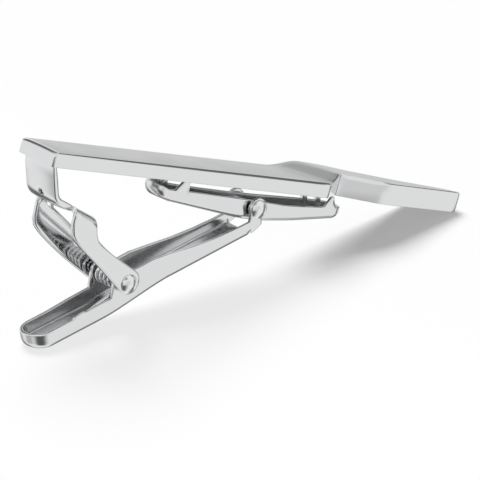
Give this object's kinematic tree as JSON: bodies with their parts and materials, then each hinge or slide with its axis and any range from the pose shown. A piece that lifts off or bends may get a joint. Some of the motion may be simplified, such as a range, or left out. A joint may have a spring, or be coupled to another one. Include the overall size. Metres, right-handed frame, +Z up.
{
  "type": "tie clip",
  "caption": "Slim metal tie clip: a front bar with a raised, notched head, and behind it a sprung thumb lever that carries a swivelling toothed jaw pad.",
  "frame": {"origin": "centre of the standing clip's box, on the table it stands on", "axes": "+X from the bar's square end towards its tip, +Y across the clip to the side without the notch, +Z up from the table"},
  "size_m": [0.0554, 0.0068, 0.0216],
  "materials": {
    "satin_bar": "satin top, polished edges",
    "polished_sheet": "polished",
    "polished_rivet": "polished",
    "spring_wire": "drawn wire"
  },
  "bodies": {
    "bar": {"front_bar": "satin_bar", "bracket": "polished_sheet", "pivot_pin": "polished_rivet", "torsion_spring": "spring_wire"},
    "lever": {"lever": "polished_sheet", "jaw_pin": "polished_rivet"},
    "jaw": {"jaw_pad": "polished_sheet"}
  },
  "joints": [
    {"name": "lever_pivot", "type": "hinge", "parent": "bar", "child": "lever", "pos_m": [-0.01639, 0, 0.00484], "axis": [0, 1, 0], "range_deg": [0, 28], "stiffness_Nm_per_rad": 0.03, "springref_deg": -68.75, "deforming": ["torsion_spring"]},
    {"name": "jaw_swivel", "type": "hinge", "parent": "lever", "child": "jaw", "pos_m": [0.00164, 0, 0.0075], "axis": [0, 1, 0], "range_deg": [-28, 0]}
  ],
  "couplings": [
    {"joint": "jaw_swivel", "follows": "lever_pivot", "ratio": -1}
  ]
}
